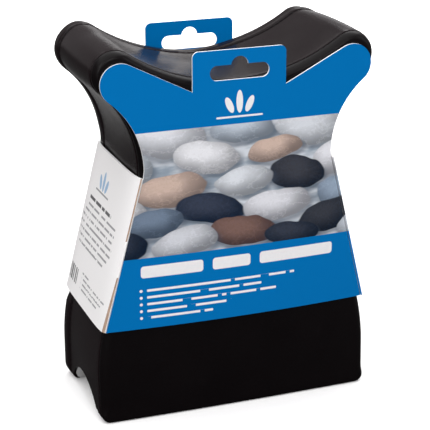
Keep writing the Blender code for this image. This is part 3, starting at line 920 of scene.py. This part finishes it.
def bandSkin():
    outer, inner = [], []
    for depth in bandDepths():
        start = sideStart(archAt(depth), 0)
        strip = fineOutline.strip(depth, bandDip(depth) - lifted(depth), start)
        out = ringNormals(strip)
        out[0], out[-1] = out[1], out[-2]
        outer.append(atDepth(puckered(strip, out, fromSeams(depth)), depth))
        inner.append(atDepth(fineOutline.strip(depth, underside(bandDip(depth)), start), depth))
    sheetSkin("bandSkin", outer, inner, bandVinyl, ["wrap_band"])


def archSkin():
    outer, inner = [], []
    thick = block["vinyl"]
    for depth in bandDepths():
        under = np.array([depth, archAt(depth)])
        over = under + thick * archNormal(depth)
        for rows, at, lift in ((outer, under, bandDip(depth)), (inner, over, 0)):
            drop = 1 - min(archAt(at[0]), cornerRadius) / cornerRadius
            rounding = (cornerRadius - thick) * math.sqrt(1 - drop**2)
            reach = halfWidth - cornerRadius + rounding - sleeve["gap"]
            rows.append([])
            for x in reach * np.sin(np.linspace(-math.pi / 2, math.pi / 2, 41)):
                edge = 0.5 * max(0, 1 - (reach - abs(x)) / 1.5) ** 2
                rows[-1].append((x, at[0], at[1] + min(lift + edge, 0.8) * (rows is outer)))
    sheetSkin("archSkin", outer, inner, archLining, ["bottom_band"])


def foamBlock():
    # foam under the skins, arched like them
    inset = block["vinyl"] + sleeve["gap"]
    roll = block["rollRadius"]
    rolls = []
    for turn in np.linspace(0, math.pi / 2, 5):
        depth = halfDepth - roll + (roll - inset) * math.sin(turn)
        rolls.append((depth, inset + (roll - inset) * (1 - math.cos(turn))))
    sections = [(-depth, at) for depth, at in reversed(rolls)] + [(-toeStart, inset)]
    sections += [(depth, inset) for depth in archRows() if archSide(depth) < toeStart - 0.01]
    sections += [(toeStart / block["rearToeReach"], inset)] + rolls
    loops = [coarseOutline.loop(depth, at, footStart(depth, at)) for depth, at in sections]
    rings = [atDepth(loop, depth) for loop, (depth, at) in zip(loops, sections)]
    for share in (0.75, 0.5, 0.25):
        rings.insert(0, faceRing(loops[0], share, sections[0][0]))
        rings.append(faceRing(loops[-1], share, sections[-1][0]))
    count = len(loops[0])
    poles = [faceRing(loops[at][:1], 0, sections[at][0]) for at in (-1, 0)]
    faces = domeFaces(len(rings), count) + turnedOver(poleFaces(len(rings) * count + 1, 0, count))
    points = bowed(np.vstack(rings + poles))
    piece = makePiece("foamBlock", points, faces, [openFoam], "block", ["foam_core"])


stitchLook = {"length": 2.3, "radius": 0.28, "sides": 6}


def stitchRow(name, side, seam, sink, dive, replaced):
    # short stitches in the valley of a seam, all round the block
    loop = fineOutline.loop(side * seam, sink - lifted(side * seam), footStart(seam, sink))
    closed = np.vstack([loop, loop[:1]])
    lengths = along(closed)
    total = lengths[-1]
    count = round(total / skinLook["pitch"])
    pitch = total / count
    outs = ringNormals(loop)
    outs = np.vstack([outs, outs[:1]])
    # shares of a stitch's length and of its radius
    profile = [(-0.5, 0), (-0.47, 0.6), (-0.38, 0.92), (0, 1), (0.38, 0.92), (0.47, 0.6), (0.5, 0)]
    points, faces = [], []
    sides = stitchLook["sides"]
    for i in range(count):
        middle = (i + 0.5) * pitch
        first = len(points)  # the tip, before the rings of the stitch
        for share, thick in profile:
            at = (middle + share * stitchLook["length"]) % total
            spot = [np.interp(at, lengths, closed[:, k]) for k in range(2)]
            out = np.array([np.interp(at, lengths, outs[:, k]) for k in range(2)])
            out /= np.linalg.norm(out)
            drop = dive * (2 * share) ** 2
            radius = stitchLook["radius"] * thick
            for k in range(sides if thick else 1):
                angle = 2 * math.pi * k / sides
                x, z = spot + out * (radius * math.cos(angle) - drop)
                points.append((x, side * seam + radius * math.sin(angle), z))
        tube = domeFaces(len(profile) - 2, sides)
        faces += [tuple(at + first + 1 for at in face) for face in tube]
        faces += turnedOver(poleFaces(first, first + 1, sides))
    makePiece(name, bowed(points), faces, [sewingThread], "block", [replaced])


print("skins")
# the front skin takes the band's vinyl painted darker, as shade
faceSkin("frontSkin", -1, frontSeam, shadedFaceVinyl, 4.8, ["front_cover"])
faceSkin("rearSkin", 1, rearSeam, bandVinyl, 4.0, ["rear_cover"])
bandSkin()
archSkin()
foamBlock()
stitchRow("frontStitches", -1, frontSeam, 0.95, 0.25, "front_seam_thread")
stitchRow("rearStitches", 1, rearSeam, 0.25, 0.65, "rear_seam_thread")


# Card sleeve
def cardRightEdge():
    horn = hornCentre - [sleeve["hornIn"], sleeve["hornDrop"]]
    radius = sleeve["hornRadius"]
    halfWaist = block["waistWidth"] / 2 - sleeve["waistIn"]
    narrow = np.array([halfWaist, waistHeight + sleeve["waistRise"]])
    waistRadius = hollowRadius(narrow[0] - horn[0], horn[1] - narrow[1], radius)
    waist = narrow + [waistRadius, 0]
    toHorn = direction(horn - waist)
    root = np.array([sleeve["tabWidth"] / 2, cradleHeight - sleeve["cradleDrop"]])
    reach = root - horn
    toShoulder = direction(-reach) + math.pi - math.acos(radius / np.linalg.norm(reach))
    tabTop = cradleHeight + sleeve["tabRise"]
    corner = np.array([sleeve["tabWidth"] / 2, tabTop]) - sleeve["tabCorner"]
    edge = [arcPoints(waist, waistRadius, math.pi, toHorn, 2)[0]]
    edge.append(arcPoints(horn, radius, toHorn - math.pi, toShoulder, 0.8)[0][1:])
    edge.append(root[None])
    edge.append(arcPoints(corner, sleeve["tabCorner"], 0, math.pi / 2, 0.5)[0])
    return np.vstack(edge + [np.array([[0, tabTop]])])


def slotRightEdge():
    foot = cradleHeight + sleeve["slotRise"]
    radius = sleeve["slotHeight"] / 2
    end = np.array([sleeve["slotWidth"] / 2 - radius, foot + radius])
    humpRadius = sleeve["humpRadius"]
    hump = np.array([0, foot + sleeve["slotHeight"] + sleeve["humpRise"] - humpRadius])
    meet = math.asin((end[1] + radius - hump[1]) / humpRadius)
    edge = [np.array([[0, hump[1] + humpRadius]])]
    edge.append(arcPoints(hump, humpRadius, math.pi / 2, meet, 0.5)[0][1:])
    edge.append(arcPoints(end, radius, math.pi / 2, -math.pi / 2, 0.5)[0])
    return np.vstack(edge + [np.array([[0, foot]])])


def cardPlan():
    rows, columns = 26, 48
    points, faces = [], []
    for row in range(rows + 1):
        height = sleeveFoot + (sleeveTop - sleeveFoot) * row / rows
        reach = creaseAt(height) - sleeve["board"] - sleeve["gap"]
        points += [(reach * (2 * column / columns - 1), height) for column in range(columns + 1)]
    faces += ringFaces(rows + 1, columns + 1, closed=False)
    middle = rows * (columns + 1) + columns // 2
    creaseRight = list(range(middle, (rows + 1) * (columns + 1)))
    creaseLeft = list(range(middle, middle - columns // 2 - 1, -1))
    right, left = [], []
    for x, z in np.vstack([cardRightEdge(), slotRightEdge()]):
        right.append(len(points))
        points.append((x, z))
        if x > 0:
            left.append(len(points))
            points.append((-x, z))
        else:
            left.append(right[-1])
    faces.append(tuple(creaseRight + right))
    faces.append(tuple(reversed(creaseLeft + left)))
    return np.array(points), faces


def middles(points, faces):
    return [points[list(face)].mean(0) for face in faces]


def besidePanel(height):
    return sleeveFoot + 0.1 < height < sleeveTop - 0.1


def cardPiece(name, side, replaced):
    plan, faces = cardPlan()
    outer = bowed(atDepth(plan, side * cardOuter))
    inner = bowed(atDepth(plan, side * (cardOuter - sleeve["shown"])))
    points, faces, kinds = walled(outer, inner, faces)
    marks = []
    for (x, y, z), kind in zip(middles(points, faces), kinds):
        # the print goes round the folds, but not round the front card's left edge
        folded = (x > 0 or side > 0) and abs(x) > creaseAt(z) - 1 and besidePanel(z)
        marks.append(1 if kind == 2 and not folded else 0)
    makePiece(name, points, faces, [bluePrint, whiteEdge], "block", [replaced], marks, 30)


def panelPoint(side, depth, height):
    foot, top = sleeve["bulgeFoot"], sleeve["bulgeTop"]
    bulge = (foot + (top - foot) * sleeveShare(height)) * (1 - abs(depth / cardOuter) ** 6)
    return (side * (creaseAt(height) + bulge), depth, height)


def panelPiece(name, side, body, replaced):
    rows, columns = 30, 40
    outer, inner = [], []
    # the left panel's front edge is cut at a slant, more and more so below the tongue
    stops = [sleeveFoot, sleeve["tongueFoot"] - 2, sleeve["tongueFoot"] + 2]
    cuts = [sleeve[key] for key in ("cutFoot", "cutBelow", "cutAbove")]
    for row in range(rows + 1):
        height = sleeveFoot + (sleeveTop - sleeveFoot) * row / rows
        cut = np.interp(height, stops, cuts) if side < 0 else 0
        for column in range(columns + 1):
            depth = cardOuter * math.sin(math.pi * (column / columns - 1 / 2))
            outer.append(panelPoint(side, depth + cut * max(0, -depth / cardOuter) ** 6, height))
            inner.append(panelPoint(side, depth, height))
    outer, inner = bowed(outer), bowed(inner) - np.array([side * sleeve["board"], 0, 0])
    points, faces, kinds = walled(outer, inner, ringFaces(rows + 1, columns + 1, closed=False))
    marks = []
    for (x, y, z), kind in zip(middles(points, faces), kinds):
        edge = kind == 2 and abs(y) > cardInner - 4 and besidePanel(z)
        tucked = sleeve["tongueFoot"] < z < sleeve["tongueTop"]
        if not edge:
            marks.append(0 if kind == 0 else 2)
        elif side < 0 and y < 0:
            marks.append(2 if tucked else 1)
        else:
            marks.append(3)  # the cards' print goes round the folds
    materials = [whitePrint, brownEdge, whiteEdge, bluePrint]
    makePiece(name, points, faces, materials, body, [replaced], marks, 30)


def tonguePiece():
    # the tucked tongue that bridges from the left panel to behind the front card
    front, reach = sleeve["gap"] - cardInner, sleeve["tongueReach"]
    back = front + sleeve["tongueBoard"]
    section = [(0.5, front), (0.5, back), (-0.2, back), (-reach, back), (-reach, front), (-0.2, front)]
    points = []
    for height in np.linspace(sleeve["tongueFoot"], sleeve["tongueTop"], 9):
        points += [(sleeve["board"] - creaseAt(height) - x, y, height) for x, y in section]
    count = len(section)
    last = len(points) - count
    faces = ringFaces(len(points) // count, count)
    faces += [tuple(range(count - 1, -1, -1)), tuple(range(last, last + count))]
    makePiece("leftTongue", bowed(points), faces, [whiteEdge], "left_panel")


print("sleeve")
cardPiece("frontCard", -1, "front_card")
cardPiece("rearCard", 1, "rear_card")
panelPiece("leftPanel", -1, "left_panel", "left_side_card")
panelPiece("rightPanel", 1, "block", "right_side_card")
tonguePiece()


# Floor, lights and camera
def makeFloor():
    steps = (-4, -2, 0, 2, 4)  # in metres
    mesh = bpy.data.meshes.new("floor")
    mesh.from_pydata([(x, y, 0) for y in steps for x in steps], [], ringFaces(5, 5, closed=False))
    mesh.materials.append(floorPaint())
    floor = placed("floor", mesh)


# place and aim in metres, width and height in metres, power in watts
lamps = {
    "ceiling": {"place": (-0.15, 0.1, 1.5), "aim": (0, 0, 0), "size": (2.4, 2.4), "power": 38},
    "back": {"place": (0.75, 0.85, 1.15), "aim": (0, 0, 0.17), "size": (1.0, 0.5), "power": 7},
    "low": {"place": (0.62, 1.25, 0.32), "aim": (0, 0, 0.17), "size": (0.6, 0.24), "power": 0.36},
    "left": {"place": (-0.71, -0.66, 0.55), "aim": (0, 0, 0.1), "size": (0.35, 0.7), "power": 3.9},
    "right": {"place": (1.3, -0.7, 0.8), "aim": (0, 0, 0.12), "size": (0.5, 0.9), "power": 5},
    "front": {"place": (-0.1, -1.6, 1.0), "aim": (0, 0, 0.1), "size": (0.9, 0.5), "power": 9},
}
skyLevel = 0.33


def aimed(place, aim):
    return (Vector(aim) - Vector(place)).to_track_quat("-Z", "Y").to_matrix().to_4x4()


def makeLamps():
    for name, values in lamps.items():
        data = bpy.data.lights.new(name, "AREA")
        data.shape = "RECTANGLE"
        data.size, data.size_y = values["size"]
        data.energy = values["power"]
        turned = aimed(values["place"], values["aim"])
        placed(name, data).matrix_world = Matrix.Translation(values["place"]) @ turned


def makeSky():
    world = bpy.data.worlds.new("sky")
    world.use_nodes = True
    tree = world.node_tree
    shown = tree.nodes["Background"]
    shown.inputs["Color"].default_value = grey(1)
    shown.inputs["Strength"].default_value = 1
    dim = tree.nodes.new("ShaderNodeBackground")
    dim.inputs["Color"].default_value = (1, 0.95, 0.965, 1)
    dim.inputs["Strength"].default_value = skyLevel
    path = tree.nodes.new("ShaderNodeLightPath")
    pick = tree.nodes.new("ShaderNodeMixShader")
    tree.links.new(path.outputs["Is Camera Ray"], pick.inputs[0])
    tree.links.new(dim.outputs[0], pick.inputs[1])
    tree.links.new(shown.outputs[0], pick.inputs[2])
    tree.links.new(pick.outputs[0], tree.nodes["World Output"].inputs["Surface"])
    bpy.context.scene.world = world


cameraSetup = {
    "azimuth": 20.446,
    "elevation": 19.145,
    "roll": -0.174,
    "distance": 0.7553,
    "target": (0.00067, 0, 0.09147),
    "focalPixels": 1461.4,
    "picture": 430,
}


def makeCamera():
    turn, rise = math.radians(cameraSetup["azimuth"]), math.radians(cameraSetup["elevation"])
    ahead = Vector((math.sin(turn) * math.cos(rise), math.cos(turn) * math.cos(rise), -math.sin(rise)))
    right = ahead.cross(Vector((0, 0, 1))).normalized()
    up = right.cross(ahead)
    roll = math.radians(cameraSetup["roll"])
    across = math.cos(roll) * right + math.sin(roll) * up
    high = math.cos(roll) * up - math.sin(roll) * right
    data = bpy.data.cameras.new("camera")
    data.sensor_width = 36
    data.lens = cameraSetup["focalPixels"] / cameraSetup["picture"] * data.sensor_width
    camera = placed("camera", data)
    turned = Matrix((across, high, -ahead)).transposed().to_4x4()
    place = Vector(cameraSetup["target"]) - cameraSetup["distance"] * ahead
    camera.matrix_world = Matrix.Translation(place) @ turned
    bpy.context.scene.camera = camera


print("stage")
makeFloor()
makeLamps()
makeSky()
makeCamera()
bpy.context.scene.view_settings.view_transform = "Standard"
